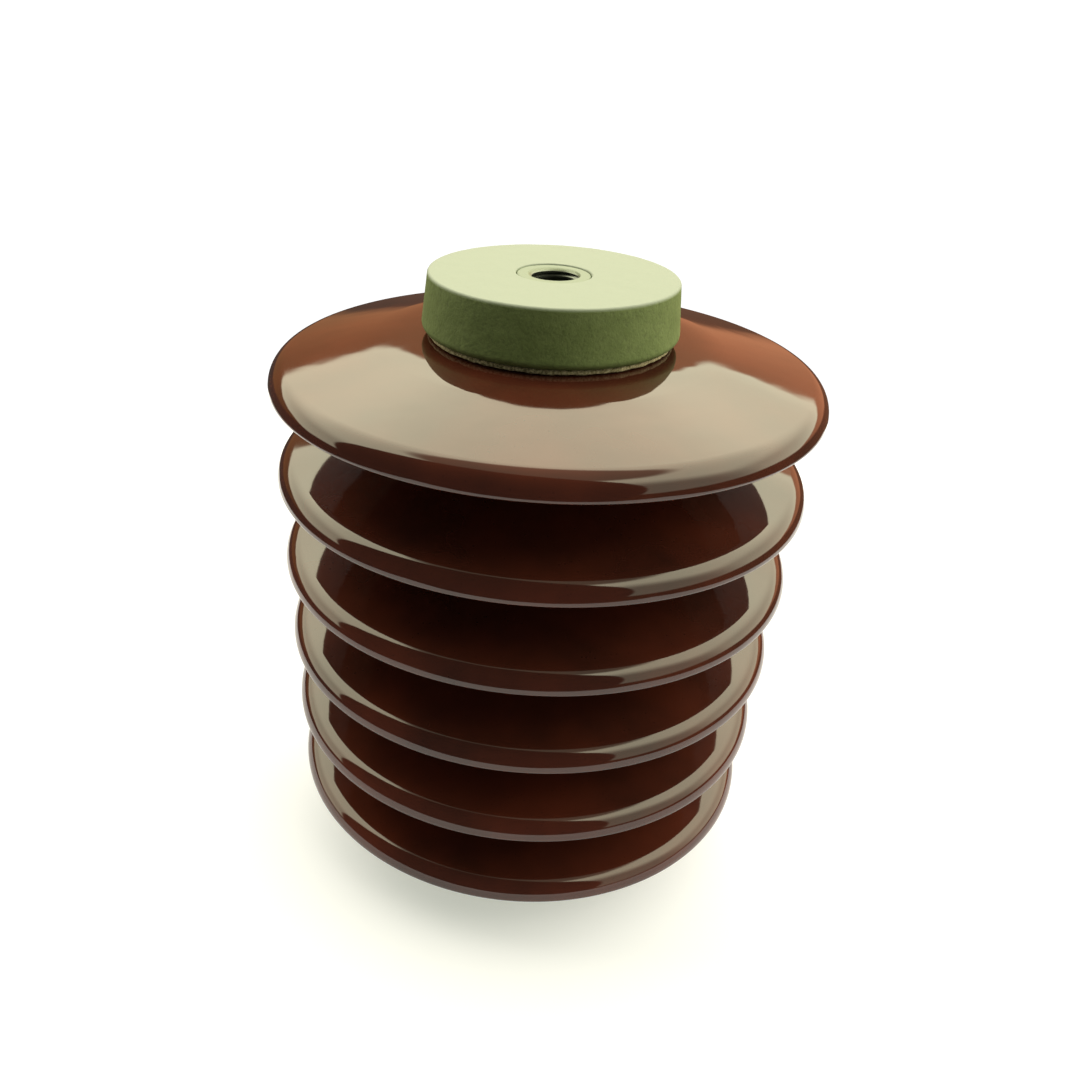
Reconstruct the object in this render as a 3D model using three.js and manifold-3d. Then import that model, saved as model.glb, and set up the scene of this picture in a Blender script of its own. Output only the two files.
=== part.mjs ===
// Outdoor post insulator for medium-voltage power lines.
//
// A solid porcelain core carries a stack of equal sheds and is glazed brown. Each end of the
// core is a short bare head that stands in a cast iron cap and is held there by a ring of
// cement, with a soft disc between the head and the cap's roof. In the middle of each cap is
// a steel bush with a blind metric thread. Its hexagon flange sits in a pocket under the roof,
// so that it can neither turn nor pull out. The caps at the two ends are the same casting.
//
// Millimetres, +Z up. The origin is the centre of the lower cap's outer face, on which the
// insulator stands.

import * as THREE from 'three';
import { mergeVertices } from 'three/addons/utils/BufferGeometryUtils.js';
import Module from 'manifold-3d';

const wasm = await Module();
wasm.setup();

// Driving dimensions of the sheds and the core.
const SHED_COUNT = 6;
const SHED_PITCH = 31;
const SHED_RADIUS = 90;
const RIM_ROUNDING = 4; // radius of a shed's rounded rim, half its thickness there
const SHED_RISE = 7; // climb of a shed's top from the rim to the flat land round the core
const UNDERSIDE_RISE = 3; // climb of a shed's underside from the rim to the core
const LAND_WIDTH = 13; // from the core out to where a shed's top starts to fall
const CORE_FILLET = 6;
const LOWER_NECK = 11; // from the lower shoulder up to the middle of the lowest rim

// Driving dimensions of the heads, the bare ends of the core.
const HEAD_RADIUS = 31.5;
const SHOULDER_WIDTH = 4.5; // how much wider the core is than its heads
const SHOULDER_ROUNDING = 1.5;
const ROOT_FILLET = 2.5;
const HEAD_CHAMFER = 1;

// Driving dimensions of the caps and of what holds them.
const CAP_HEIGHT = 17;
const CAP_WALL = 5.5; // thickness at the mouth
const CAP_ROOF = 6;
const CAP_DRAFT = 1.75; // how much smaller the cap's radius is at its face than at its mouth
const FACE_ROUNDING = 0.8;
const MOUTH_ROUNDING = 2;
const JOINT_WIDTH = 4; // from the head to the cap's wall, filled with cement
const JOINT_REVEAL = 2; // from the shoulder to the cap's mouth
const KEY_DEPTH = 1.3; // groove in the cap's wall that the cement grips
const KEY_INSET = 1.5; // from the groove to the mouth and to the roof
const BEAD_SPREAD = 3.5; // how far the cement runs out under the cap's rim
const CUSHION_THICKNESS = 1.5;

// Driving dimensions of the thread and its bush.
const THREAD_RADIUS = 8; // M16, major radius
const THREAD_PITCH = 2;
const THREAD_DEPTH = 17;
const COUNTERSINK_OVERSIZE = 0.3;
const BUSH_WALL = 3.5; // outside the thread's major radius
const BUSH_FLOOR = 2.5;
const BUSH_CHAMFER = 0.8;
const BUSH_SETBACK = 0.3; // from the cap's face down to the bush's end
const FLANGE_LIP = 2; // from the bush's side to the middle of a flat
const FLANGE_THICKNESS = 4;
const POCKET_DEPTH = 2.5;
const WELL_CLEARANCE = 1; // round the bush's tail, in the porcelain
const CUSHION_CLEARANCE = 1; // from the flange's corners to the cushion

// Clearance between two pieces that meet, and the number of flats round a full turn.
const GAP = 0.3;
const TURN_STEPS = 32;

// Sizes that follow from the driving ones.
const CORE_RADIUS = HEAD_RADIUS + SHOULDER_WIDTH;
const RIM_CENTRE = SHED_RADIUS - RIM_ROUNDING;
const LAND_RADIUS = CORE_RADIUS + LAND_WIDTH;
const LAND_HEIGHT = RIM_ROUNDING + SHED_RISE; // above the middle of the rim
const CAVITY_RADIUS = HEAD_RADIUS + JOINT_WIDTH;
const MOUTH_RADIUS = CAVITY_RADIUS + CAP_WALL;
const FACE_RADIUS = MOUTH_RADIUS - CAP_DRAFT;
const BUSH_RADIUS = THREAD_RADIUS + BUSH_WALL;
const BORE_RADIUS = THREAD_RADIUS - 0.625 * Math.sin(Math.PI / 3) * THREAD_PITCH;
const FLANGE_APOTHEM = BUSH_RADIUS + FLANGE_LIP;
const FLANGE_CORNER = FLANGE_APOTHEM / Math.cos(Math.PI / 6);

// Depths below the outer face of a cap.
const SHOULDER_DEPTH = CAP_HEIGHT + JOINT_REVEAL;
const CUSHION_DEPTH = CAP_ROOF + GAP;
const HEAD_DEPTH = CUSHION_DEPTH + CUSHION_THICKNESS + GAP;
const FLANGE_DEPTH = CAP_ROOF - POCKET_DEPTH + GAP;
const BORE_DEPTH = BUSH_SETBACK + THREAD_DEPTH;
const BUSH_DEPTH = BORE_DEPTH + BUSH_FLOOR;
const WELL_DEPTH = BUSH_DEPTH + WELL_CLEARANCE;

// Heights above the ground.
const LOWEST_RIM = SHOULDER_DEPTH + LOWER_NECK;
const UPPER_SHOULDER = LOWEST_RIM + (SHED_COUNT - 1) * SHED_PITCH + LAND_HEIGHT;
const OVERALL_HEIGHT = UPPER_SHOULDER + SHOULDER_DEPTH;

const point = (r, z) => new THREE.Vector2(r, z);

// Points along an arc in the plane of the profile, both ends included. Angles are in radians,
// from the outward direction towards +Z.
function arc(r, z, radius, from, to, steps) {
  const points = [];
  for (let step = 0; step <= steps; step += 1) {
    const angle = from + ((to - from) * step) / steps;
    points.push(point(r + radius * Math.cos(angle), z + radius * Math.sin(angle)));
  }
  return points;
}

// The solid that a profile sweeps about Z. The profile runs outwards along the underside, up
// the outside and inwards along the top.
function turned(profile) {
  const geometry = new THREE.LatheGeometry(profile, TURN_STEPS);
  geometry.rotateX(Math.PI / 2);
  return geometry;
}

// A ring's profile ends where it starts.
function turnedRing(profile) {
  return turned([...profile, profile[0].clone()]);
}

// A hexagonal plate from one height to another, with a round hole if a radius is given.
function hexagonPlate(apothem, bottom, top, holeRadius = 0) {
  const outline = new THREE.Shape();
  const corner = apothem / Math.cos(Math.PI / 6);
  for (let side = 0; side < 6; side += 1) {
    const angle = (side * Math.PI) / 3;
    const [x, y] = [corner * Math.cos(angle), corner * Math.sin(angle)];
    if (side === 0) outline.moveTo(x, y);
    else outline.lineTo(x, y);
  }
  outline.closePath();
  if (holeRadius > 0) outline.holes.push(new THREE.Path().absarc(0, 0, holeRadius, 0, Math.PI * 2));
  const options = { depth: top - bottom, bevelEnabled: false, curveSegments: TURN_STEPS / 2 };
  const geometry = new THREE.ExtrudeGeometry(outline, options);
  geometry.translate(0, 0, bottom);
  return geometry;
}

// A closed mesh as a solid that can be cut and joined.
function solidOf(geometry) {
  geometry.deleteAttribute('normal');
  geometry.deleteAttribute('uv');
  const merged = mergeVertices(geometry);
  const corners = merged.index.array;
  const triangles = [];
  for (let i = 0; i < corners.length; i += 3) {
    const [a, b, c] = corners.slice(i, i + 3);
    if (a !== b && b !== c && c !== a) triangles.push(a, b, c);
  }
  const mesh = new wasm.Mesh({
    numProp: 3,
    vertProperties: new Float32Array(merged.attributes.position.array),
    triVerts: new Uint32Array(triangles),
  });
  return new wasm.Manifold(mesh);
}

function geometryOf(solid) {
  const mesh = solid.getMesh();
  const geometry = new THREE.BufferGeometry();
  geometry.setAttribute('position', new THREE.BufferAttribute(mesh.vertProperties, 3));
  geometry.setIndex(new THREE.BufferAttribute(mesh.triVerts, 1));
  geometry.computeVertexNormals();
  return geometry;
}

// Slope of the straight line from a point beside a shed to its rounded rim, which it just
// touches from above (side 1) or from below (side -1). The height is from the rim's middle.
function slopeToRim(r, height, side) {
  const run = RIM_CENTRE - r;
  return Math.atan2(-height, run) + side * Math.asin(RIM_ROUNDING / Math.hypot(run, height));
}

// One shed's outline, from the core below it to the outer edge of its land.
function shedOutline(rim) {
  const rootHeight = UNDERSIDE_RISE - RIM_ROUNDING;
  const rootRadius = CORE_RADIUS + CORE_FILLET;
  const under = slopeToRim(rootRadius, rootHeight, -1) - Math.PI / 2;
  const over = slopeToRim(LAND_RADIUS, LAND_HEIGHT, 1) + Math.PI / 2;
  return [
    ...arc(rootRadius, rim + rootHeight - CORE_FILLET, CORE_FILLET, Math.PI, Math.PI / 2, 2),
    ...arc(RIM_CENTRE, rim, RIM_ROUNDING, under, over, 8),
    point(LAND_RADIUS, rim + LAND_HEIGHT),
  ];
}

// The porcelain's outline: lower well and head, the sheds, then the upper head and well.
function porcelainProfile() {
  const wellRadius = BUSH_RADIUS + WELL_CLEARANCE;
  const rootRadius = HEAD_RADIUS + ROOT_FILLET;
  const profile = [
    point(0, WELL_DEPTH),
    point(wellRadius, WELL_DEPTH),
    point(wellRadius, HEAD_DEPTH),
    point(HEAD_RADIUS - HEAD_CHAMFER, HEAD_DEPTH),
    point(HEAD_RADIUS, HEAD_DEPTH + HEAD_CHAMFER),
    ...arc(rootRadius, SHOULDER_DEPTH - ROOT_FILLET, ROOT_FILLET, Math.PI, Math.PI / 2, 2),
    ...arc(CORE_RADIUS - SHOULDER_ROUNDING, SHOULDER_DEPTH + SHOULDER_ROUNDING,
      SHOULDER_ROUNDING, -Math.PI / 2, 0, 2),
  ];
  for (let shed = 0; shed < SHED_COUNT; shed += 1) {
    const rim = LOWEST_RIM + shed * SHED_PITCH;
    profile.push(...shedOutline(rim));
    if (shed < SHED_COUNT - 1) {
      profile.push(...arc(CORE_RADIUS + CORE_FILLET, rim + LAND_HEIGHT + CORE_FILLET,
        CORE_FILLET, -Math.PI / 2, -Math.PI, 2));
    }
  }
  profile.push(
    ...arc(rootRadius, UPPER_SHOULDER + ROOT_FILLET, ROOT_FILLET, -Math.PI / 2, -Math.PI, 2),
    point(HEAD_RADIUS, OVERALL_HEIGHT - HEAD_DEPTH - HEAD_CHAMFER),
    point(HEAD_RADIUS - HEAD_CHAMFER, OVERALL_HEIGHT - HEAD_DEPTH),
    point(wellRadius, OVERALL_HEIGHT - HEAD_DEPTH),
    point(wellRadius, OVERALL_HEIGHT - WELL_DEPTH),
    point(0, OVERALL_HEIGHT - WELL_DEPTH),
  );
  return profile;
}

// The pieces of one end are drawn for the upper end, with the cap's outer face at Z = 0.

// The wall of the cap's cavity from mouth to roof, moved inwards by a clearance. The key
// groove has flanks at 45 degrees, so its corners also move along the wall.
function cavityWall(clearance) {
  const shift = clearance * Math.tan(Math.PI / 8);
  const lower = -CAP_HEIGHT + KEY_INSET + shift;
  const upper = -CAP_ROOF - KEY_INSET - shift;
  const r = CAVITY_RADIUS - clearance;
  return [
    point(r, lower),
    point(r + KEY_DEPTH, lower + KEY_DEPTH),
    point(r + KEY_DEPTH, upper - KEY_DEPTH),
    point(r, upper),
    point(r, -CAP_ROOF - clearance),
  ];
}

function capGeometry() {
  const straight = CAP_HEIGHT - MOUTH_ROUNDING - FACE_ROUNDING;
  const draft = Math.atan2(CAP_DRAFT, straight);
  const casting = solidOf(turnedRing([
    point(CAVITY_RADIUS, -CAP_HEIGHT),
    ...arc(MOUTH_RADIUS - MOUTH_ROUNDING, MOUTH_ROUNDING - CAP_HEIGHT, MOUTH_ROUNDING,
      -Math.PI / 2, draft, 3),
    ...arc(FACE_RADIUS - FACE_ROUNDING, -FACE_ROUNDING, FACE_ROUNDING, draft, Math.PI / 2, 2),
    point(BUSH_RADIUS + GAP, 0),
    point(BUSH_RADIUS + GAP, -CAP_ROOF),
    ...cavityWall(0).reverse(),
  ]));
  const pocketMouth = -CAP_ROOF - GAP;
  const pocket = solidOf(hexagonPlate(FLANGE_APOTHEM + GAP, pocketMouth, POCKET_DEPTH - CAP_ROOF));
  return geometryOf(casting.subtract(pocket));
}

function cementGeometry() {
  const beadBottom = -SHOULDER_DEPTH + GAP;
  const beadTop = -CAP_HEIGHT - GAP;
  const beadRounding = (beadTop - beadBottom) / 2;
  const beadCentre = CAVITY_RADIUS + BEAD_SPREAD - beadRounding;
  return turnedRing([
    ...arc(HEAD_RADIUS + ROOT_FILLET, ROOT_FILLET - SHOULDER_DEPTH, ROOT_FILLET - GAP,
      Math.PI, Math.PI * 1.5, 2),
    ...arc(beadCentre, beadBottom + beadRounding, beadRounding, -Math.PI / 2, Math.PI / 2, 4),
    point(CAVITY_RADIUS - GAP, beadTop),
    ...cavityWall(GAP),
    point(HEAD_RADIUS + GAP, -CAP_ROOF - GAP),
  ]);
}

function cushionGeometry() {
  const inner = FLANGE_CORNER + CUSHION_CLEARANCE;
  const outer = HEAD_RADIUS - HEAD_CHAMFER;
  const [bottom, top] = [-CUSHION_DEPTH - CUSHION_THICKNESS, -CUSHION_DEPTH];
  return turnedRing([point(inner, bottom), point(outer, bottom), point(outer, top), point(inner, top)]);
}

function bushGeometry() {
  const sinkRadius = THREAD_RADIUS + COUNTERSINK_OVERSIZE;
  const body = solidOf(turned([
    point(0, -BUSH_DEPTH),
    point(BUSH_RADIUS - BUSH_CHAMFER, -BUSH_DEPTH),
    point(BUSH_RADIUS, -BUSH_DEPTH + BUSH_CHAMFER),
    point(BUSH_RADIUS, -BUSH_SETBACK),
    point(sinkRadius, -BUSH_SETBACK),
    point(BORE_RADIUS, -BUSH_SETBACK - (sinkRadius - BORE_RADIUS)),
    point(BORE_RADIUS, -BORE_DEPTH),
    point(0, -BORE_DEPTH),
  ]));
  const flangeBottom = -FLANGE_DEPTH - FLANGE_THICKNESS;
  const holeRadius = (BORE_RADIUS + BUSH_RADIUS) / 2;
  const flange = solidOf(hexagonPlate(FLANGE_APOTHEM, flangeBottom, -FLANGE_DEPTH, holeRadius));
  return geometryOf(body.add(flange));
}

// Finishes, one material for each piece.
const FINISHES = {
  glazedPorcelain: { color: 0x4a1c10, roughness: 0.08, metalness: 0 },
  sageCoating: { color: 0xb9c48e, roughness: 0.75, metalness: 0 },
  cement: { color: 0xa9a595, roughness: 0.95, metalness: 0 },
  cork: { color: 0x9a7046, roughness: 0.95, metalness: 0 },
  steel: { color: 0x9aa09a, roughness: 0.4, metalness: 1 },
};

function piece(name, geometry, finish) {
  const mesh = new THREE.Mesh(geometry, new THREE.MeshStandardMaterial(FINISHES[finish]));
  mesh.name = name;
  return mesh;
}

function endFitting(prefix) {
  const group = new THREE.Group();
  group.add(piece(`${prefix}_cap`, capGeometry(), 'sageCoating'));
  group.add(piece(`${prefix}_cement`, cementGeometry(), 'cement'));
  group.add(piece(`${prefix}_cushion`, cushionGeometry(), 'cork'));
  group.add(piece(`${prefix}_thread_bush`, bushGeometry(), 'steel'));
  return group;
}

const insulator = new THREE.Group();
insulator.add(piece('porcelain_body', turned(porcelainProfile()), 'glazedPorcelain'));

const upperEnd = endFitting('top');
upperEnd.position.z = OVERALL_HEIGHT;
insulator.add(upperEnd);

const lowerEnd = endFitting('base');
lowerEnd.rotation.x = Math.PI;
insulator.add(lowerEnd);

export default insulator;
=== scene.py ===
# %% [markdown]
# # A brown glazed post insulator
#
# A post insulator carries a live conductor on the steel of a pole or a switch frame. Its body is
# one piece of solid porcelain, turned on a lathe, dipped in brown glaze and fired. At each end the
# bare head of the body stands in a cast iron cap, held by cement, and a threaded bush in the
# middle of the cap takes the bolt.
#
# The CAD model gives every piece its size and place. This lesson draws each piece again with
# smooth surfaces and gives it its real finish. Nearly everything here is round, so one idea does
# most of the work: draw half of the outline, then spin it about the Z axis.

# %% Load the CAD model
import math

import bmesh
import bpy
from mathutils import Matrix, Vector


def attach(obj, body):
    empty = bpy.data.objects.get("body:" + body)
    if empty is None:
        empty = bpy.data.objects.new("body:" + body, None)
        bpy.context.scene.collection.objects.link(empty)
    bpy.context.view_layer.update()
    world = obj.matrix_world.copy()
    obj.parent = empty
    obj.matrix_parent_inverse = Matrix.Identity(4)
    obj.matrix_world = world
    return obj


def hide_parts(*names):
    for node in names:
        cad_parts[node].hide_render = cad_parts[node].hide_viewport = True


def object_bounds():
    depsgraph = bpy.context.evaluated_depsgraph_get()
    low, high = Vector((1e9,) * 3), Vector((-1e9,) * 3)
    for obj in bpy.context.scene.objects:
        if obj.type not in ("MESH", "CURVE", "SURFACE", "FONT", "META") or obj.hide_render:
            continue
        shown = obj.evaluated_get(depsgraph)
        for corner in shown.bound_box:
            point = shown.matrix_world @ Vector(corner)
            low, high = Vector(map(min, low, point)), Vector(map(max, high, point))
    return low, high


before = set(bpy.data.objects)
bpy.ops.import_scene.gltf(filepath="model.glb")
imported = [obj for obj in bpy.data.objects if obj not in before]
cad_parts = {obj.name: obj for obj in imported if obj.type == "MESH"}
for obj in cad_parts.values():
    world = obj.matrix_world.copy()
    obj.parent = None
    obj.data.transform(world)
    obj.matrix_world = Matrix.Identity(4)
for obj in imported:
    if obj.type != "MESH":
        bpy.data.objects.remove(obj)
cad_low, cad_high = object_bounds()
HEIGHT = cad_high.z
print("CAD nodes:", ", ".join(sorted(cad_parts)))
print(f"CAD box in metres: {cad_high - cad_low}")

# %% [markdown]
# ## Sizes
#
# Blender works in metres here, so each size is written in millimetres times MM. They are the
# driving sizes of the real object: what a turner or a foundry would be told.

# %% Sizes of the porcelain
MM = 0.001

SHED_COUNT = 6
SHED_PITCH = 31 * MM
SHED_RADIUS = 90 * MM
RIM_ROUNDING = 4 * MM
SHED_RISE = 7 * MM
UNDERSIDE_RISE = 3 * MM
LAND_WIDTH = 13 * MM
CORE_FILLET = 6 * MM
LOWER_NECK = 11 * MM
HEAD_RADIUS = 31.5 * MM
SHOULDER_WIDTH = 4.5 * MM
SHOULDER_ROUNDING = 1.5 * MM
ROOT_FILLET = 2.5 * MM
HEAD_CHAMFER = 1 * MM
WELL_ROUNDING = 1 * MM

CORE_RADIUS = HEAD_RADIUS + SHOULDER_WIDTH
LAND_RADIUS = CORE_RADIUS + LAND_WIDTH
LAND_HEIGHT = RIM_ROUNDING + SHED_RISE
print(f"{SHED_COUNT} sheds {2 * SHED_RADIUS / MM:.0f} mm wide, {SHED_PITCH / MM:.0f} mm apart")

# %% Sizes of the caps and of what they hold
CAP_HEIGHT = 17 * MM
CAP_WALL = 5.5 * MM
CAP_ROOF = 6 * MM
CAP_DRAFT = 1.75 * MM
FACE_ROUNDING = 0.8 * MM
MOUTH_ROUNDING = 2 * MM
JOINT_WIDTH = 4 * MM
JOINT_REVEAL = 2 * MM
KEY_DEPTH = 1.3 * MM
GROOVE_SLOPE = math.radians(45)
KEY_INSET = 1.5 * MM
BEAD_SPREAD = 3.5 * MM
CUSHION_THICKNESS = 1.5 * MM
CUSHION_CLEARANCE = 1 * MM
GAP = 0.3 * MM

CAVITY_RADIUS = HEAD_RADIUS + JOINT_WIDTH
MOUTH_RADIUS = CAVITY_RADIUS + CAP_WALL
FACE_RADIUS = MOUTH_RADIUS - CAP_DRAFT
SHOULDER_DEPTH = CAP_HEIGHT + JOINT_REVEAL
CUSHION_DEPTH = CAP_ROOF + GAP
HEAD_DEPTH = CUSHION_DEPTH + CUSHION_THICKNESS + GAP
print(f"cap {2 * FACE_RADIUS / MM:.1f} mm wide at its face and {CAP_HEIGHT / MM:.0f} mm high")

# %% Sizes of the threaded bush
THREAD_RADIUS = 8 * MM
THREAD_PITCH = 2 * MM
THREAD_SHARE = 0.625
THREAD_DEPTH = 17 * MM
COUNTERSINK_OVERSIZE = 0.3 * MM
BUSH_WALL = 3.5 * MM
BUSH_FLOOR = 2.5 * MM
BUSH_CHAMFER = 0.8 * MM
BUSH_SETBACK = 0.3 * MM
FLANGE_LIP = 2 * MM
FLANGE_THICKNESS = 4 * MM
POCKET_DEPTH = 2.5 * MM
WELL_CLEARANCE = 1 * MM

BUSH_RADIUS = THREAD_RADIUS + BUSH_WALL
BORE_RADIUS = THREAD_RADIUS - THREAD_SHARE * math.sin(math.radians(60)) * THREAD_PITCH
FLANGE_APOTHEM = BUSH_RADIUS + FLANGE_LIP
FLANGE_CORNER = FLANGE_APOTHEM / math.cos(math.radians(30))
FLANGE_DEPTH = CAP_ROOF - POCKET_DEPTH + GAP
BORE_DEPTH = BUSH_SETBACK + THREAD_DEPTH
BUSH_DEPTH = BORE_DEPTH + BUSH_FLOOR
WELL_DEPTH = BUSH_DEPTH + WELL_CLEARANCE

LOWEST_RIM = SHOULDER_DEPTH + LOWER_NECK
UPPER_SHOULDER = LOWEST_RIM + (SHED_COUNT - 1) * SHED_PITCH + LAND_HEIGHT
drawn_height = UPPER_SHOULDER + SHOULDER_DEPTH
print(f"height drawn {drawn_height / MM:.2f} mm, height in the CAD model {HEIGHT / MM:.2f} mm")

# %% [markdown]
# ## The camera
#
# A camera is described by where it stands and by three turns: how far it looks down, how far it
# looks to the side and how far it is tilted. The lens is short because the camera stands close
# by, which makes the lower sheds look smaller than the top one. It is also shifted by a small
# share of the frame, which slides the view without turning the camera.

# %% Place the camera
CAMERA_PLACE = Vector((0, -292.9, 284.2)) * MM
CAMERA_DOWN = math.radians(35.7)
CAMERA_SIDE = math.radians(-2.86)
CAMERA_TILT = math.radians(2.56)
CAMERA_LENS = 29.94
CAMERA_SHIFT = (0.046, 0.093)
CAMERA_SENSOR = 36
CAMERA_CLIP = (10 * MM, 100)


def aim_camera():
    """A camera that looks along +Y, then turns down, to the side and about its own axis."""
    lens = bpy.data.cameras.new("camera")
    lens.lens = CAMERA_LENS
    lens.sensor_width = CAMERA_SENSOR
    lens.shift_x, lens.shift_y = CAMERA_SHIFT
    lens.clip_start, lens.clip_end = CAMERA_CLIP
    camera = bpy.data.objects.new("camera", lens)
    bpy.context.scene.collection.objects.link(camera)
    aside = Matrix.Rotation(-CAMERA_SIDE, 4, "Z")
    down = Matrix.Rotation(math.radians(90) - CAMERA_DOWN, 4, "X")
    tilt = Matrix.Rotation(CAMERA_TILT, 4, "Z")
    camera.matrix_world = Matrix.Translation(CAMERA_PLACE) @ aside @ down @ tilt
    return camera


bpy.context.scene.camera = aim_camera()
bpy.context.scene.view_settings.view_transform = "Standard"
print(f"camera {CAMERA_PLACE.length / MM:.0f} mm from the foot of the insulator")

# %% [markdown]
# ## Two helpers for materials
#
# Artists write colours as sRGB hex codes, and the renderer calculates with linear light, so one
# function turns the first into the second. The other adds one node to a node tree with its
# settings, its fixed values and the outputs that feed it.

# %% Colours and nodes


def linear(hex_code):
    """An sRGB hex colour as linear red, green, blue and alpha."""
    shares = [int(hex_code[start:start + 2], 16) / 255 for start in (1, 3, 5)]
    return [s / 12.92 if s <= 0.04045 else ((s + 0.055) / 1.055) ** 2.4 for s in shares] + [1]


def add_node(tree, kind, inputs=None, **settings):
    """Adds a node. Its settings are named, and each input is a value or another node's output."""
    node = tree.nodes.new(kind)
    for name, value in settings.items():
        setattr(node, name, value)
    for name, value in (inputs or {}).items():
        socket = next(s for s in node.inputs if s.identifier == name)
        if isinstance(value, bpy.types.NodeSocket):
            tree.links.new(value, socket)
        else:
            socket.default_value = value
    return node


print("mid grey is", [round(share, 3) for share in linear("#808080")])

# %% [markdown]
# ## The studio
#
# Glossy things stand in a tent of white cloth that is lit from outside, because they mirror
# whatever is around them. What isn't cloth draws the dark outlines that make the glaze look
# glossy: the round opening at the front, the warm dim room under the rear edge of the cloth, and
# the dark table below the horizon. The cloth itself is dimmer at the front on the right and close
# to the table, and darkest overhead, where it is gathered.
#
# It is all made in the world shader. The dot product of a direction with the middle of a disc is
# the cosine of the angle between them, so a ramp over it draws a disc with a soft edge. A disc
# of about 90 degrees straight below is the whole lower half of the world. The background that the
# camera sees directly is plain white.

# %% Pitch the light tent
TENT_COLOUR = "#FFF9D6"
TENT_STRENGTH = 4.8
BACKGROUND_STRENGTH = 1.1

# The cloth dims from one elevation to another, both in degrees, by a share of its brightness.
DIMMED_CLOTH = ((38, 20, 0.38), (58, 65, 0.85))

# Each disc has the azimuth from the back and the elevation of its middle, its angular radius and
# the softness of its edge, all in degrees, and its colours on the left and on the right. A later
# disc covers an earlier one.
GREY_CLOTH = (138, 0, 42, 12, "#8C8C7A", "#8C8C7A")
ROOM_BEHIND = (-5.4, -62.3, 83, 0.8, "#4E3722", "#885A40")
TABLE = (0, -90, 91, 2, "#1C1E1C", "#36261B")
FRONT_OPENING = (-157.5, 15.5, 61.3, 0.8, "#1C1E1C", "#1C1E1C")
DISCS = (GREY_CLOTH, ROOM_BEHIND, TABLE, FRONT_OPENING)

# The colours run from the left one to the right one over this much of the sideways direction.
COLOUR_RUN = math.sin(math.radians(32))


def towards(azimuth, elevation):
    """The direction at an azimuth, clockwise from +Y, and an elevation, both in degrees."""
    turn, rise = math.radians(azimuth), math.radians(elevation)
    level = math.cos(rise)
    return Vector((math.sin(turn) * level, math.cos(turn) * level, math.sin(rise)))


def light_world():
    """The tent seen by the object, and a white background seen by the camera."""
    world = bpy.data.worlds.new("light_tent")
    bpy.context.scene.world = world
    world.use_nodes = True
    tree = world.node_tree
    tree.nodes.clear()
    direction = add_node(tree, "ShaderNodeTexCoord").outputs["Generated"]
    parts = add_node(tree, "ShaderNodeSeparateXYZ", {"Vector": direction})
    sideways, height = parts.outputs["X"], parts.outputs["Z"]
    tent = linear(TENT_COLOUR)
    for start, end, share in DIMMED_CLOTH:
        dimmed = add_node(tree, "ShaderNodeMapRange", {
            "Value": height, "From Min": math.sin(math.radians(start)),
            "From Max": math.sin(math.radians(end)), "To Max": share,
        }, interpolation_type="SMOOTHSTEP")
        tent = add_node(tree, "ShaderNodeMix", {
            "Factor_Float": dimmed.outputs["Result"],
            "A_Color": tent, "B_Color": linear("#000000"),
        }, data_type="RGBA").outputs[2]
    for azimuth, elevation, radius, softness, left, right in DISCS:
        along = add_node(tree, "ShaderNodeVectorMath", {
            "Vector": direction, "Vector_001": towards(azimuth, elevation),
        }, operation="DOT_PRODUCT")
        inside = add_node(tree, "ShaderNodeMapRange", {
            "Value": along.outputs["Value"],
            "From Min": math.cos(math.radians(radius + softness)),
            "From Max": math.cos(math.radians(radius - softness)),
        }, interpolation_type="SMOOTHSTEP")
        across = add_node(tree, "ShaderNodeMapRange", {
            "Value": sideways, "From Min": -COLOUR_RUN, "From Max": COLOUR_RUN,
        })
        room = add_node(tree, "ShaderNodeMix", {
            "Factor_Float": across.outputs["Result"],
            "A_Color": linear(left), "B_Color": linear(right),
        }, data_type="RGBA")
        tent = add_node(tree, "ShaderNodeMix", {
            "Factor_Float": inside.outputs["Result"],
            "A_Color": tent, "B_Color": room.outputs[2],
        }, data_type="RGBA").outputs[2]
    lamp = add_node(tree, "ShaderNodeBackground", {
        "Color": tent, "Strength": TENT_STRENGTH,
    })
    backdrop = add_node(tree, "ShaderNodeBackground", {
        "Color": linear("#FFFFFF"), "Strength": BACKGROUND_STRENGTH,
    })
    path = add_node(tree, "ShaderNodeLightPath")
    shown = add_node(tree, "ShaderNodeMixShader", {
        "Fac": path.outputs["Is Camera Ray"],
        "Shader": lamp.outputs["Background"],
        "Shader_001": backdrop.outputs["Background"],
    })
    add_node(tree, "ShaderNodeOutputWorld", {"Surface": shown.outputs["Shader"]})


light_world()
print(f"light tent of {TENT_COLOUR} cloth with {len(DISCS)} discs on it")

# %% [markdown]
# ## Starting and ending a material
#
# Every finish below is one Principled shader fed by patterns. The patterns follow Object
# coordinates, which are metres in the object's own space, so a pattern's scale is one over its
# real size. The glaze and the steel both keep the rings of a lathe, so those have a function too.

# %% Material helpers


def start_finish(name):
    """A new material's node tree, and the point of the surface that its patterns follow."""
    finish = bpy.data.materials.new(name)
    finish.use_nodes = True
    finish.node_tree.nodes.clear()
    place = add_node(finish.node_tree, "ShaderNodeTexCoord").outputs["Object"]
    return finish, finish.node_tree, place


def turned_rings(tree, place, width, detail):
    """The uneven rings that a tool leaves round the Z axis, as a height from 0 to 1."""
    flat = add_node(tree, "ShaderNodeVectorMath", {
        "Vector": place, "Vector_001": (1, 1, 0),
    }, operation="MULTIPLY")
    radius = add_node(tree, "ShaderNodeVectorMath", {
        "Vector": flat.outputs["Vector"],
    }, operation="LENGTH")
    rings = add_node(tree, "ShaderNodeTexNoise", {
        "W": radius.outputs["Value"], "Scale": 1 / width, "Detail": detail,
    }, noise_dimensions="1D")
    return rings.outputs["Fac"]


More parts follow.
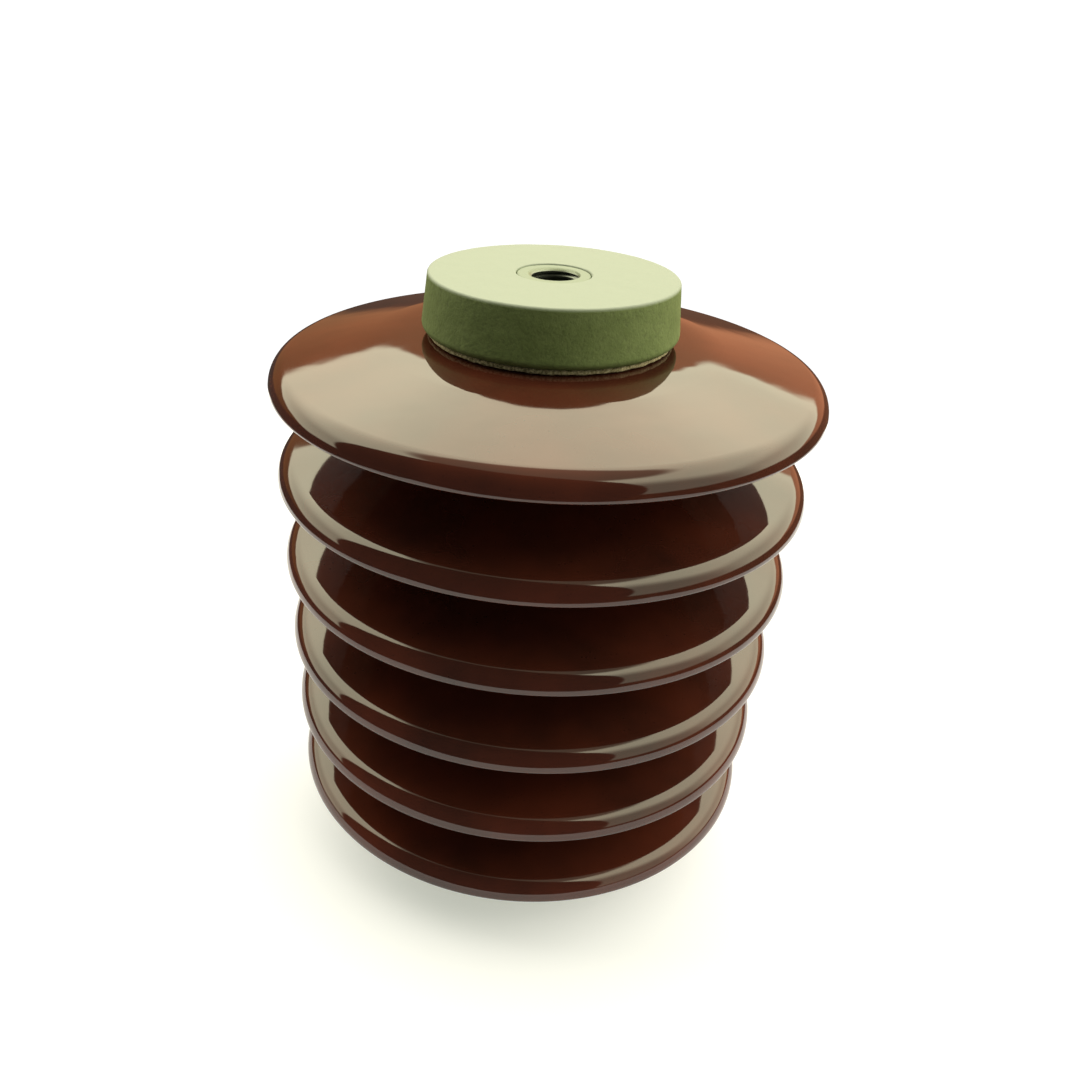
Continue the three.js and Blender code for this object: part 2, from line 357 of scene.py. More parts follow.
def end_finish(tree, inputs):
    """Feeds a Principled shader and shows it on the surface."""
    shader = add_node(tree, "ShaderNodeBsdfPrincipled", inputs)
    add_node(tree, "ShaderNodeOutputMaterial", {"Surface": shader.outputs["BSDF"]})


# %% [markdown]
# ## The floor
#
# The insulator stands on a sheet of matt paper. One square is enough, because it only catches
# light and shadow. The sheet is small, because the glaze mirrors it, and it glows a little, which
# stands for the light that the cloth throws into the shadow.

# %% Lay the floor
FLOOR_COLOUR = "#CDCDE4"
FLOOR_SHADE = "#F8FFED"
FLOOR_GLOW = 0.42
FLOOR_HALF_WIDTH = 450 * MM
PAPER_TOOTH = 2 * MM
PAPER_TOOTH_DEPTH = 0.02 * MM


def paper_finish():
    """Matt paper: a diffuse surface with a very faint tooth, and an even glow that stands for the
    light thrown into the shadow.
    """
    finish, tree, place = start_finish("matt_backdrop_paper")
    tooth = add_node(tree, "ShaderNodeTexNoise", {"Vector": place, "Scale": 1 / PAPER_TOOTH})
    relief = add_node(tree, "ShaderNodeBump", {
        "Height": tooth.outputs["Fac"], "Strength": 0.2, "Distance": PAPER_TOOTH_DEPTH,
    })
    end_finish(tree, {
        "Base Color": linear(FLOOR_COLOUR), "Roughness": 0.95,
        "Specular IOR Level": 0.0, "Normal": relief.outputs["Normal"],
        "Emission Color": linear(FLOOR_SHADE), "Emission Strength": FLOOR_GLOW,
    })
    return finish


def lay_floor():
    """The square sheet, at height 0."""
    shape = bmesh.new()
    bmesh.ops.create_grid(shape, x_segments=1, y_segments=1, size=FLOOR_HALF_WIDTH)
    mesh = bpy.data.meshes.new("floor")
    shape.to_mesh(mesh)
    shape.free()
    mesh.materials.append(paper_finish())
    floor = bpy.data.objects.new("floor", mesh)
    bpy.context.scene.collection.objects.link(floor)


lay_floor()
print(f"floor {2 * FLOOR_HALF_WIDTH:.2f} m wide")

# %% [markdown]
# ## The turner's template
#
# A lathe hand checks the profile against a template cut from sheet metal. Outline is the same
# thing: a chain of vertices in the XZ plane, grown from its tip. A straight stretch extrudes the
# tip and moves the copy. A round stretch spins the tip about the centre of the arc. Long straight
# stretches get a short guard step at both ends, so that the smooth shading of the arcs beside
# them doesn't spread over the flat surface.
#
# A spin gets slower as its mesh grows, so only one wedge is spun. Copies of it are then set round
# the axis, like the slices of a cake, and the doubled vertices between them are merged.

# %% Outline
GUARD = 0.25 * MM
WEDGES = 8
MERGE_DISTANCE = 0.002 * MM


class Outline:
    """Half of a round piece's outline, drawn from one end to the other."""

    def __init__(self, radius, height):
        self.mesh = bmesh.new()
        self.tip = self.mesh.verts.new((radius, 0, height))

    def step(self, stride):
        """Grows the chain by one vertex."""
        grown = bmesh.ops.extrude_vert_indiv(self.mesh, verts=[self.tip])["verts"]
        bmesh.ops.translate(self.mesh, verts=grown, vec=stride)
        self.tip = grown[0]

    def line(self, radius, height, steps=1):
        """A straight stretch, guarded at both ends if it has steps between them."""
        whole = Vector((radius, 0, height)) - self.tip.co
        if steps == 1 or whole.length < 3 * GUARD:
            self.step(whole)
            return
        guard = whole.normalized() * GUARD
        self.step(guard)
        for _ in range(steps):
            self.step((whole - 2 * guard) / steps)
        self.step(guard)

    def arc(self, radius, height, degrees, steps):
        """A round stretch about a centre, anticlockwise where degrees is positive."""
        turned = bmesh.ops.spin(
            self.mesh, geom=[self.tip], cent=(radius, 0, height),
            axis=(0, -1, 0), angle=math.radians(degrees), steps=steps,
        )
        self.tip = turned["geom_last"][0]

    def turned(self, steps):
        """The surface that the outline sweeps in a full turn about Z."""
        shape = self.mesh
        wedge = math.radians(360) / WEDGES
        bmesh.ops.spin(
            shape, geom=shape.verts[:] + shape.edges[:], cent=(0, 0, 0),
            axis=(0, 0, 1), angle=wedge, steps=steps // WEDGES,
        )
        bmesh.ops.spin(
            shape, geom=shape.verts[:] + shape.edges[:] + shape.faces[:], cent=(0, 0, 0),
            axis=(0, 0, 1), angle=wedge * (WEDGES - 1), steps=WEDGES - 1, use_duplicate=True,
        )
        bmesh.ops.remove_doubles(shape, verts=shape.verts, dist=MERGE_DISTANCE)
        return shape


print(f"a full turn is {WEDGES} wedges, merged within {MERGE_DISTANCE / MM} mm")

# %% [markdown]
# ## From a bmesh to a piece
#
# Spinning leaves doubled vertices on the axis, and joining leaves doubled edges. They are merged
# first, and only then are the normals turned outwards, because an open seam would confuse them.

# %% Make a piece
SHARP_ANGLE = math.radians(50)


def make_piece(shape, name, finishes, sharp=False):
    """A finished object at the origin, with its place in its mesh."""
    bmesh.ops.remove_doubles(shape, verts=shape.verts, dist=MERGE_DISTANCE)
    bmesh.ops.dissolve_degenerate(shape, edges=shape.edges, dist=MERGE_DISTANCE)
    bmesh.ops.recalc_face_normals(shape, faces=shape.faces)
    open_edges = sum(1 for edge in shape.edges if not edge.is_manifold)
    for face in shape.faces:
        face.smooth = True
    mesh = bpy.data.meshes.new(name)
    shape.to_mesh(mesh)
    shape.free()
    if sharp:
        mesh.set_sharp_from_angle(angle=SHARP_ANGLE)
    for finish in finishes:
        mesh.materials.append(finish)
    piece = bpy.data.objects.new(name, mesh)
    bpy.context.scene.collection.objects.link(piece)
    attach(piece, "root")
    print(f"{name}: {len(mesh.polygons)} faces, {open_edges} open edges")
    return piece


# %% [markdown]
# ## The glaze
#
# Brown electrical porcelain gets its colour from iron and manganese in a glass layer about a
# third of a millimetre thick. Under the hard gloss it is a warm red-brown, a little lighter where
# the glass ran thin. The surface is never quite flat: slow ripples bend the edges of a
# reflection, a fine peel breaks them up, and faint rings remain from the lathe.

# %% Glaze
GLAZE_THICK = "#2E1814"
GLAZE_THIN = "#51251A"
GLAZE_CLOUD = 45 * MM
GLAZE_RIPPLE = 24 * MM
GLAZE_PEEL = 3.5 * MM
TURNING_RING = 5 * MM
IRON_SPOT = 2.2 * MM
IRON_BROWN = "#1E0E0A"
RIPPLE_DEPTH = 0.16 * MM
PEEL_DEPTH = 0.003 * MM
RING_DEPTH = 0.006 * MM
GLASS_IOR = 1.52


def glaze_finish():
    """Fired glass over brown porcelain: mirror-sharp gloss over a deep red-brown ground."""
    finish, tree, place = start_finish("brown_feldspar_glaze")
    cloud = add_node(tree, "ShaderNodeTexNoise", {
        "Vector": place, "Scale": 1 / GLAZE_CLOUD, "Detail": 3.0, "Roughness": 0.6,
    })
    thinned = add_node(tree, "ShaderNodeMapRange", {
        "Value": cloud.outputs["Fac"], "From Min": 0.25, "From Max": 0.75,
    })
    ground = add_node(tree, "ShaderNodeMix", {
        "Factor_Float": thinned.outputs["Result"],
        "A_Color": linear(GLAZE_THICK), "B_Color": linear(GLAZE_THIN),
    }, data_type="RGBA")
    # Grains of iron in the clay melt through as faint dark spots.
    spot = add_node(tree, "ShaderNodeTexVoronoi", {"Vector": place, "Scale": 1 / IRON_SPOT})
    speck = add_node(tree, "ShaderNodeMapRange", {
        "Value": spot.outputs["Distance"], "From Min": 0.06, "From Max": 0.16,
        "To Min": 0.35, "To Max": 0.0,
    })
    body = add_node(tree, "ShaderNodeMix", {
        "Factor_Float": speck.outputs["Result"],
        "A_Color": ground.outputs[2], "B_Color": linear(IRON_BROWN),
    }, data_type="RGBA")
    gloss = add_node(tree, "ShaderNodeMapRange", {
        "Value": cloud.outputs["Fac"], "From Min": 0.3, "From Max": 0.7,
        "To Min": 0.04, "To Max": 0.07,
    })
    ripple = add_node(tree, "ShaderNodeTexNoise", {
        "Vector": place, "Scale": 1 / GLAZE_RIPPLE, "Detail": 2.0,
    })
    waves = add_node(tree, "ShaderNodeBump", {
        "Height": ripple.outputs["Fac"], "Distance": RIPPLE_DEPTH,
    })
    peel = add_node(tree, "ShaderNodeTexNoise", {
        "Vector": place, "Scale": 1 / GLAZE_PEEL, "Detail": 0.0,
    })
    peeled = add_node(tree, "ShaderNodeBump", {
        "Height": peel.outputs["Fac"], "Distance": PEEL_DEPTH,
        "Normal": waves.outputs["Normal"],
    })
    rings = add_node(tree, "ShaderNodeBump", {
        "Height": turned_rings(tree, place, TURNING_RING, 2.0), "Distance": RING_DEPTH,
        "Normal": peeled.outputs["Normal"],
    })
    end_finish(tree, {
        "Base Color": body.outputs[2], "Roughness": gloss.outputs["Result"],
        "IOR": GLASS_IOR, "Normal": rings.outputs["Normal"],
    })
    return finish


glaze = glaze_finish()
print(f"{glaze.name}: {len(glaze.node_tree.nodes)} nodes")

# %% [markdown]
# The heads inside the caps have no glaze. They are rolled in porcelain grit before firing, which
# gives the cement something to grip.

# %% Grit on the heads
GRIT = 1.4 * MM
GRIT_RELIEF = 0.5 * MM
GRIT_PALE = "#D6CDBD"
GRIT_DARK = "#8C7C6A"


def grit_finish():
    """Fired porcelain grit: pale, dull grains in a slightly darker ground."""
    finish, tree, place = start_finish("fired_porcelain_grit")
    grain = add_node(tree, "ShaderNodeTexVoronoi", {"Vector": place, "Scale": 1 / GRIT})
    tone = add_node(tree, "ShaderNodeMix", {
        "Factor_Float": grain.outputs["Distance"],
        "A_Color": linear(GRIT_PALE), "B_Color": linear(GRIT_DARK),
    }, data_type="RGBA")
    relief = add_node(tree, "ShaderNodeBump", {
        "Height": grain.outputs["Distance"], "Strength": 0.9, "Distance": GRIT_RELIEF,
    }, invert=True)
    end_finish(tree, {
        "Base Color": tone.outputs[2], "Roughness": 0.85, "Normal": relief.outputs["Normal"],
    })
    return finish


grit = grit_finish()
print(f"{grit.name}: grains of {GRIT / MM} mm")

# %% [markdown]
# ## The porcelain body
#
# A potter turns the body from a solid column of clay, so its outline is drawn once from the lower
# pole to the upper one and spun. Each shed is a thin cone. Its rim is a wide curve above and a
# small lip below, so that rain runs round it and then drips off, and the land round the core
# runs out into the cone without an edge. The slopes of the two straight lines come from geometry:
# each leaves a point near the core and just touches an arc of the rim.

# %% Draw the porcelain
BODY_STEPS = 256
HEAD_STEPS = 2
CORE_STEPS = 3
NECK_STEPS = 4
SLOPE_STEPS = 5
RIM_STEPS = 11
LIP_STEPS = 7
BLEND_STEPS = 3
FILLET_STEPS = 6
RIM_CURVE = 7 * MM
RIM_LIP = 1 * MM
RIM_DROP = RIM_ROUNDING - RIM_LIP
LAND_OVERRUN = 2 * MM
LAND_CORNER = LAND_RADIUS + LAND_OVERRUN
LAND_BLEND = 50 * MM


def slope_to_arc(run, height, rounding, side):
    """Angle in degrees of the line from a point to the arc that it touches above (1) or below (-1)."""
    touch = side * math.asin(rounding / math.hypot(run, height))
    return math.degrees(math.atan2(-height, run) + touch)


def draw_shed(outline, rim):
    """One shed, from the core below it over the lip and the rim to its land."""
    root = CORE_RADIUS + CORE_FILLET
    root_height = UNDERSIDE_RISE - RIM_ROUNDING
    lip = SHED_RADIUS - RIM_LIP
    curve = SHED_RADIUS - RIM_CURVE
    level = rim - RIM_DROP
    under = slope_to_arc(lip - root, root_height + RIM_DROP, RIM_LIP, -1)
    over = slope_to_arc(curve - LAND_CORNER, LAND_HEIGHT + RIM_DROP, RIM_CURVE, 1)
    outline.line(CORE_RADIUS, rim + root_height - CORE_FILLET, CORE_STEPS)
    outline.arc(root, rim + root_height - CORE_FILLET, -90, FILLET_STEPS)
    below = math.radians(under - 90)
    outline.line(lip + RIM_LIP * math.cos(below), level + RIM_LIP * math.sin(below), SLOPE_STEPS)
    outline.arc(lip, level, 90 - under, LIP_STEPS)
    outline.arc(curve, level, over + 90, RIM_STEPS)
    fall = math.radians(-over)
    blend = LAND_BLEND * math.tan(fall / 2)
    land = rim + LAND_HEIGHT
    outline.line(LAND_CORNER + blend * math.cos(fall), land - blend * math.sin(fall), SLOPE_STEPS)
    outline.arc(LAND_CORNER - blend, land - LAND_BLEND, -over, BLEND_STEPS)


def draw_porcelain():
    """The whole body, from the well for the lower bush to the well for the upper one."""
    well = BUSH_RADIUS + WELL_CLEARANCE
    outline = Outline(0, WELL_DEPTH)
    outline.line(well, WELL_DEPTH)
    outline.line(well, HEAD_DEPTH + WELL_ROUNDING, HEAD_STEPS)
    outline.line(well + WELL_ROUNDING, HEAD_DEPTH)
    outline.line(HEAD_RADIUS - HEAD_CHAMFER, HEAD_DEPTH, HEAD_STEPS)
    outline.line(HEAD_RADIUS, HEAD_DEPTH + HEAD_CHAMFER)
    outline.line(HEAD_RADIUS, SHOULDER_DEPTH - ROOT_FILLET, HEAD_STEPS)
    outline.arc(HEAD_RADIUS + ROOT_FILLET, SHOULDER_DEPTH - ROOT_FILLET, -90, FILLET_STEPS)
    outline.line(CORE_RADIUS - SHOULDER_ROUNDING, SHOULDER_DEPTH)
    outline.arc(CORE_RADIUS - SHOULDER_ROUNDING, SHOULDER_DEPTH + SHOULDER_ROUNDING, 90, FILLET_STEPS)
    for shed in range(SHED_COUNT):
        rim = LOWEST_RIM + shed * SHED_PITCH
        draw_shed(outline, rim)
        if shed < SHED_COUNT - 1:
            outline.line(CORE_RADIUS + CORE_FILLET, rim + LAND_HEIGHT, CORE_STEPS)
            outline.arc(CORE_RADIUS + CORE_FILLET, rim + LAND_HEIGHT + CORE_FILLET, -90, FILLET_STEPS)
    outline.line(HEAD_RADIUS + ROOT_FILLET, UPPER_SHOULDER, NECK_STEPS)
    outline.arc(HEAD_RADIUS + ROOT_FILLET, UPPER_SHOULDER + ROOT_FILLET, -90, FILLET_STEPS)
    outline.line(HEAD_RADIUS, HEIGHT - HEAD_DEPTH - HEAD_CHAMFER, HEAD_STEPS)
    outline.line(HEAD_RADIUS - HEAD_CHAMFER, HEIGHT - HEAD_DEPTH)
    outline.line(well + WELL_ROUNDING, HEIGHT - HEAD_DEPTH, HEAD_STEPS)
    outline.line(well, HEIGHT - HEAD_DEPTH - WELL_ROUNDING)
    outline.line(well, HEIGHT - WELL_DEPTH, HEAD_STEPS)
    outline.line(0, HEIGHT - WELL_DEPTH)
    return outline


def grit_the_heads(shape):
    """Gives the second finish to the faces that stand inside the caps."""
    reach = SHOULDER_DEPTH - ROOT_FILLET
    for face in shape.faces:
        height = face.calc_center_median().z
        if height < reach or height > HEIGHT - reach:
            face.material_index = 1


porcelain = draw_porcelain().turned(BODY_STEPS)
grit_the_heads(porcelain)
body = make_piece(porcelain, "glazed_body", [glaze, grit])
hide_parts("porcelain_body")

# %% [markdown]
# ## The cap coating
#
# The caps are grey iron cast in sand and painted a matt sage green. Paint follows the sand grain
# of the casting, collects a little dirt in the hollows and looks uneven on the rough side wall.
# The outer face was machined flat before it was painted, so it stays even. It is also painted a
# paler, greyer sage than the side: a painted highlight where the light from above falls on it.

# %% Coating
FACE_SAGE_PAINTED_HIGHLIGHT = "#969F97"
SIDE_SAGE = "#7A8A58"
SIDE_SAGE_DARK = "#5A6B3A"
SAGE_DIRT = "#3E4728"
SAND_GRAIN = 1.1 * MM
CAST_LUMP = 6 * MM
FACE_BAND = 0.5 * MM
CASTING_RELIEF = 0.16 * MM
LUMP_WEIGHT = 2.0
PAINT_IOR = 1.45


def coating_finish():
    """Matt paint on sand-cast iron: even on the machined face, which carries a painted highlight,
    granular and mottled on the side.
    """
    finish, tree, place = start_finish("sage_paint_on_cast_iron")
    height = add_node(tree, "ShaderNodeSeparateXYZ", {"Vector": place}).outputs["Z"]
    from_middle = add_node(tree, "ShaderNodeMath", {
        "Value": height, "Value_001": HEIGHT / 2,
    }, operation="SUBTRACT")
    reach = add_node(tree, "ShaderNodeMath", {"Value": from_middle.outputs["Value"]},
                     operation="ABSOLUTE")
    rough_side_not_highlit = add_node(tree, "ShaderNodeMapRange", {
        "Value": reach.outputs["Value"],
        "From Min": HEIGHT / 2 - 2 * FACE_BAND, "From Max": HEIGHT / 2 - FACE_BAND / 4,
        "To Min": 1.0, "To Max": 0.04,
    })
    grain = add_node(tree, "ShaderNodeTexNoise", {
        "Vector": place, "Scale": 1 / SAND_GRAIN, "Detail": 2.0, "Roughness": 0.6,
    })
    lump = add_node(tree, "ShaderNodeTexNoise", {
        "Vector": place, "Scale": 1 / CAST_LUMP, "Detail": 3.0, "Roughness": 0.65,
    })
    side = add_node(tree, "ShaderNodeMix", {
        "Factor_Float": lump.outputs["Fac"],
        "A_Color": linear(SIDE_SAGE), "B_Color": linear(SIDE_SAGE_DARK),
    }, data_type="RGBA")
    # The face gets a paler, greyer sage than the side: a painted highlight for the light from above.
    paint_with_highlight = add_node(tree, "ShaderNodeMix", {
        "Factor_Float": rough_side_not_highlit.outputs["Result"],
        "A_Color": linear(FACE_SAGE_PAINTED_HIGHLIGHT), "B_Color": side.outputs[2],
    }, data_type="RGBA")
    hollow = add_node(tree, "ShaderNodeMapRange", {
        "Value": grain.outputs["Fac"], "From Min": 0.5, "From Max": 0.3,
        "To Min": 0.0, "To Max": 0.32,
    })
    dirt = add_node(tree, "ShaderNodeMath", {
        "Value": hollow.outputs["Result"], "Value_001": rough_side_not_highlit.outputs["Result"],
    }, operation="MULTIPLY")
    colour = add_node(tree, "ShaderNodeMix", {
        "Factor_Float": dirt.outputs["Value"],
        "A_Color": paint_with_highlight.outputs[2], "B_Color": linear(SAGE_DIRT),
    }, data_type="RGBA")
    lumps = add_node(tree, "ShaderNodeMath", {
        "Value": lump.outputs["Fac"], "Value_001": LUMP_WEIGHT,
    }, operation="MULTIPLY")
    surface = add_node(tree, "ShaderNodeMath", {
        "Value": grain.outputs["Fac"], "Value_001": lumps.outputs["Value"],
    }, operation="ADD")
    relief = add_node(tree, "ShaderNodeMath", {
        "Value": surface.outputs["Value"], "Value_001": rough_side_not_highlit.outputs["Result"],
    }, operation="MULTIPLY")
    bump = add_node(tree, "ShaderNodeBump", {
        "Height": relief.outputs["Value"], "Strength": 0.8, "Distance": CASTING_RELIEF,
    })
    dull = add_node(tree, "ShaderNodeMapRange", {
        "Value": grain.outputs["Fac"], "To Min": 0.65, "To Max": 0.9,
    })
    end_finish(tree, {
        "Base Color": colour.outputs[2], "Roughness": dull.outputs["Result"],
        "IOR": PAINT_IOR, "Normal": bump.outputs["Normal"],
    })
    return finish


coating = coating_finish()
print(f"{coating.name}: {len(coating.node_tree.nodes)} nodes")

# %% [markdown]
# ## Drawing one end and using it twice
#
# Both ends carry the same fitting. Each piece is drawn for the upper end with the cap's face at
# height 0, and this function then lifts it to the top, or turns it over for the foot.

# %% Ends
ENDS = ("top", "base")
END_STEPS = 288
HEXAGON_CUTS = END_STEPS // 6 - 1


def move_to_end(shape, end):
    """Lifts a piece to the top, or turns it over and leaves it at the foot."""
    if end == "top":
        bmesh.ops.translate(shape, verts=shape.verts, vec=(0, 0, HEIGHT))
    else:
        turn = Matrix.Rotation(math.radians(180), 3, "X")
        bmesh.ops.rotate(shape, verts=shape.verts, cent=(0, 0, 0), matrix=turn)


def round_loop(shape, radius, depth):
    """The open edges that lie on a circle at a depth below the face."""
    def there(vertex):
        spread = abs(math.hypot(vertex.co.x, vertex.co.y) - radius)
        return spread < GUARD and abs(vertex.co.z + depth) < GUARD

    return [e for e in shape.edges if e.is_boundary and all(there(v) for v in e.verts)]


def hexagon_loop(shape, apothem, depth):
    """A hexagon with as many edges as a spun circle, so that the two can be bridged evenly."""
    corner = apothem / math.cos(math.radians(30))
    place = Matrix.Translation((0, 0, -depth)) @ Matrix.Rotation(math.radians(30), 4, "Z")
    made = bmesh.ops.create_circle(shape, segments=6, radius=corner, matrix=place)
    sides = list({edge for vertex in made["verts"] for edge in vertex.link_edges})
    cut = bmesh.ops.subdivide_edges(shape, edges=sides, cuts=HEXAGON_CUTS)
    return [part for part in cut["geom_split"] if isinstance(part, bmesh.types.BMEdge)]


def bridge(shape, *loops):
    """Joins each loop to the next with a band of faces."""
    for first, second in zip(loops, loops[1:]):
        bmesh.ops.bridge_loops(shape, edges=first + second)


print(f"{len(ENDS)} ends, with {END_STEPS} steps round each")

# %% [markdown]
# ## The caps
#
# A foundry makes the cap in sand: a shallow cup with a slight draft on its side so that the
# pattern leaves the mould, rounded edges, and a groove inside that keys the cement. The hexagon
# pocket under the roof holds the bush. The cup is spun, and the pocket is three bands bridged
# between circles and hexagons, which is cleaner than cutting it with a boolean.

# %% Cast the caps
EDGE_ROUNDING = 0.4 * MM
EDGE_STEPS = 3
FACE_STEPS = 12
FACE_CORNER_STEPS = 6
SIDE_STEPS = 16
MOUTH_STEPS = 10
KEY_STEPS = 2
ROOF_STEPS = 4
POCKET_CEILING = CAP_ROOF - POCKET_DEPTH
POCKET_APOTHEM = FLANGE_APOTHEM + GAP
ROOF_HOLE = FLANGE_CORNER + CUSHION_CLEARANCE


def draw_cap():
    """The cup, from the pocket's ceiling over the face, the side and the mouth to the roof."""
    bush_hole = BUSH_RADIUS + GAP
    draft = math.degrees(math.atan2(CAP_DRAFT, CAP_HEIGHT - MOUTH_ROUNDING - FACE_ROUNDING))
    side = math.radians(draft)
    outline = Outline(bush_hole, -POCKET_CEILING)
    outline.line(bush_hole, -EDGE_ROUNDING)
    outline.arc(bush_hole + EDGE_ROUNDING, -EDGE_ROUNDING, -90, EDGE_STEPS)
    outline.line(FACE_RADIUS - FACE_ROUNDING, 0, FACE_STEPS)
    outline.arc(FACE_RADIUS - FACE_ROUNDING, -FACE_ROUNDING, draft - 90, FACE_CORNER_STEPS)
    mouth = Vector((MOUTH_RADIUS - MOUTH_ROUNDING, 0, MOUTH_ROUNDING - CAP_HEIGHT))
    touch = mouth + MOUTH_ROUNDING * Vector((math.cos(side), 0, math.sin(side)))
    outline.line(touch.x, touch.z, SIDE_STEPS)
    outline.arc(mouth.x, mouth.z, -90 - draft, MOUTH_STEPS)
    outline.line(CAVITY_RADIUS + EDGE_ROUNDING, -CAP_HEIGHT, EDGE_STEPS)
    outline.arc(CAVITY_RADIUS + EDGE_ROUNDING, EDGE_ROUNDING - CAP_HEIGHT, -90, EDGE_STEPS)
    key_low = KEY_INSET - CAP_HEIGHT
    key_high = -CAP_ROOF - KEY_INSET
    outline.line(CAVITY_RADIUS, key_low)
    outline.line(CAVITY_RADIUS + KEY_DEPTH, key_low + KEY_DEPTH)
    outline.line(CAVITY_RADIUS + KEY_DEPTH, key_high - KEY_DEPTH, KEY_STEPS)
    outline.line(CAVITY_RADIUS, key_high)
    outline.line(CAVITY_RADIUS, -CAP_ROOF)
    outline.line(ROOF_HOLE, -CAP_ROOF, ROOF_STEPS)
    return outline


def cast_cap(end):
    """One cap, with its hexagon pocket, at its end of the body."""
    shape = draw_cap().turned(END_STEPS)
    roof = round_loop(shape, ROOF_HOLE, CAP_ROOF)
    ceiling = round_loop(shape, BUSH_RADIUS + GAP, POCKET_CEILING)
    mouth = hexagon_loop(shape, POCKET_APOTHEM, CAP_ROOF)
    top = hexagon_loop(shape, POCKET_APOTHEM, POCKET_CEILING)
    bridge(shape, roof, mouth, top, ceiling)
    move_to_end(shape, end)
    cap = make_piece(shape, f"{end}_cast_cap", [coating], sharp=True)
    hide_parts(f"{end}_cap")
    return cap


caps = [cast_cap(end) for end in ENDS]

# %% [markdown]
# A sand casting is never truly round or flat. A Displace modifier with a cloud texture pushes its
# surface in and out, over a tenth of a millimetre in all, which is real shape and shows along the
# outline.

# %% Unevenness
CAST_UNEVENNESS = 0.12 * MM


def roughen(piece, name, size, depth):
    """Moves the surface in and out along its normals, in clouds of a size."""
    clouds = bpy.data.textures.new(name, "CLOUDS")
    clouds.noise_scale = size
    clouds.noise_depth = 2
    displace = piece.modifiers.new(name, "DISPLACE")
    displace.texture = clouds
    displace.texture_coords = "LOCAL"
    displace.strength = depth
    displace.mid_level = 0.5


for cap in caps:
    roughen(cap, "sand_casting", CAST_LUMP, CAST_UNEVENNESS)
print(f"caps uneven by {CAST_UNEVENNESS / MM} mm")

# %% [markdown]
# ## The cement
#
# Portland cement fills the space between the head and the cap. What shows is a low bead below
# the cap's mouth, smeared and grainy, with sand in it. The ring is spun like the other pieces and
# its surface is then roughened more strongly than the casting's.

# %% Cement
CEMENT_LIGHT = "#DDD3AE"
CEMENT_DARK = "#7E7555"
CEMENT_SAND = 0.9 * MM
CEMENT_STEPS = 384
MORTAR_RELIEF = 0.3 * MM
MORTAR_SMEAR = 3 * MM
MORTAR_UNEVENNESS = 0.6 * MM
WALL_STEPS = 4
RING_STEPS = 3
SHOULDER_STEPS = 6
BEAD_STEPS = 10


def cement_finish():
    """Cured cement mortar: dull and grainy, with pale lime where it dried first."""
    finish, tree, place = start_finish("portland_cement_mortar")
    sand = add_node(tree, "ShaderNodeTexNoise", {
        "Vector": place, "Scale": 1 / CEMENT_SAND, "Detail": 3.0, "Roughness": 0.7,
    })
    tone = add_node(tree, "ShaderNodeMapRange", {
        "Value": sand.outputs["Fac"], "From Min": 0.35, "From Max": 0.65,
    })
    colour = add_node(tree, "ShaderNodeMix", {
        "Factor_Float": tone.outputs["Result"],
        "A_Color": linear(CEMENT_DARK), "B_Color": linear(CEMENT_LIGHT),
    }, data_type="RGBA")
    bump = add_node(tree, "ShaderNodeBump", {
        "Height": sand.outputs["Fac"], "Distance": MORTAR_RELIEF,
    })
    end_finish(tree, {
        "Base Color": colour.outputs[2], "Roughness": 0.95, "Normal": bump.outputs["Normal"],
    })
    return finish


def draw_cement():
    """The filling, from the head's root out to the bead, in under the mouth and up to the roof."""
    bottom = GAP - SHOULDER_DEPTH
    top = -CAP_HEIGHT - GAP
    bead = (top - bottom) / 2
    bead_centre = CAVITY_RADIUS + BEAD_SPREAD - bead
    wall = CAVITY_RADIUS - GAP
    groove = wall + KEY_DEPTH
    shift = GAP * math.tan(GROOVE_SLOPE / 2)
    key_low = KEY_INSET - CAP_HEIGHT + shift
    key_high = -CAP_ROOF - KEY_INSET - shift
    inner = HEAD_RADIUS + GAP
    outline = Outline(inner, -CAP_ROOF - GAP)
    outline.line(inner, ROOT_FILLET - SHOULDER_DEPTH, WALL_STEPS)
    outline.arc(HEAD_RADIUS + ROOT_FILLET, ROOT_FILLET - SHOULDER_DEPTH, 90, SHOULDER_STEPS)
    outline.line(bead_centre, bottom, SHOULDER_STEPS)
    outline.arc(bead_centre, bottom + bead, 180, BEAD_STEPS)
    outline.line(wall, top, WALL_STEPS)
    outline.line(wall, key_low)
    outline.line(groove, key_low + KEY_DEPTH)
    outline.line(groove, key_high - KEY_DEPTH, RING_STEPS)
    outline.line(wall, key_high)
    outline.line(wall, -CAP_ROOF - GAP)
    outline.line(inner, -CAP_ROOF - GAP, RING_STEPS)
    return outline


mortar = cement_finish()
for end in ENDS:
    ring = draw_cement().turned(CEMENT_STEPS)
    move_to_end(ring, end)
    filling = make_piece(ring, f"{end}_cement_ring", [mortar])
    roughen(filling, "trowelled_mortar", MORTAR_SMEAR, MORTAR_UNEVENNESS)
    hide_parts(f"{end}_cement")

# %% [markdown]
# ## The cork cushions
#
# A ring of pressed cork lies between the end of the porcelain and the iron, so that neither
# presses on the other when they warm up at different rates. It is spun from a rounded rectangle,
# and its granules are Voronoi cells, each with a shade of its own.

# %% Cork
CORK_GRANULE = 2.5 * MM
CORK_ROUNDING = 0.3 * MM
CORK_STEPS = 192
CORK_FACE_STEPS = 10
CORK_CORNER_STEPS = 4
CORK_UNEVENNESS = 0.15 * MM
CORK_RELIEF = 0.3 * MM
CORK_DARK = "#7C5432"
CORK_LIGHT = "#B98C5A"


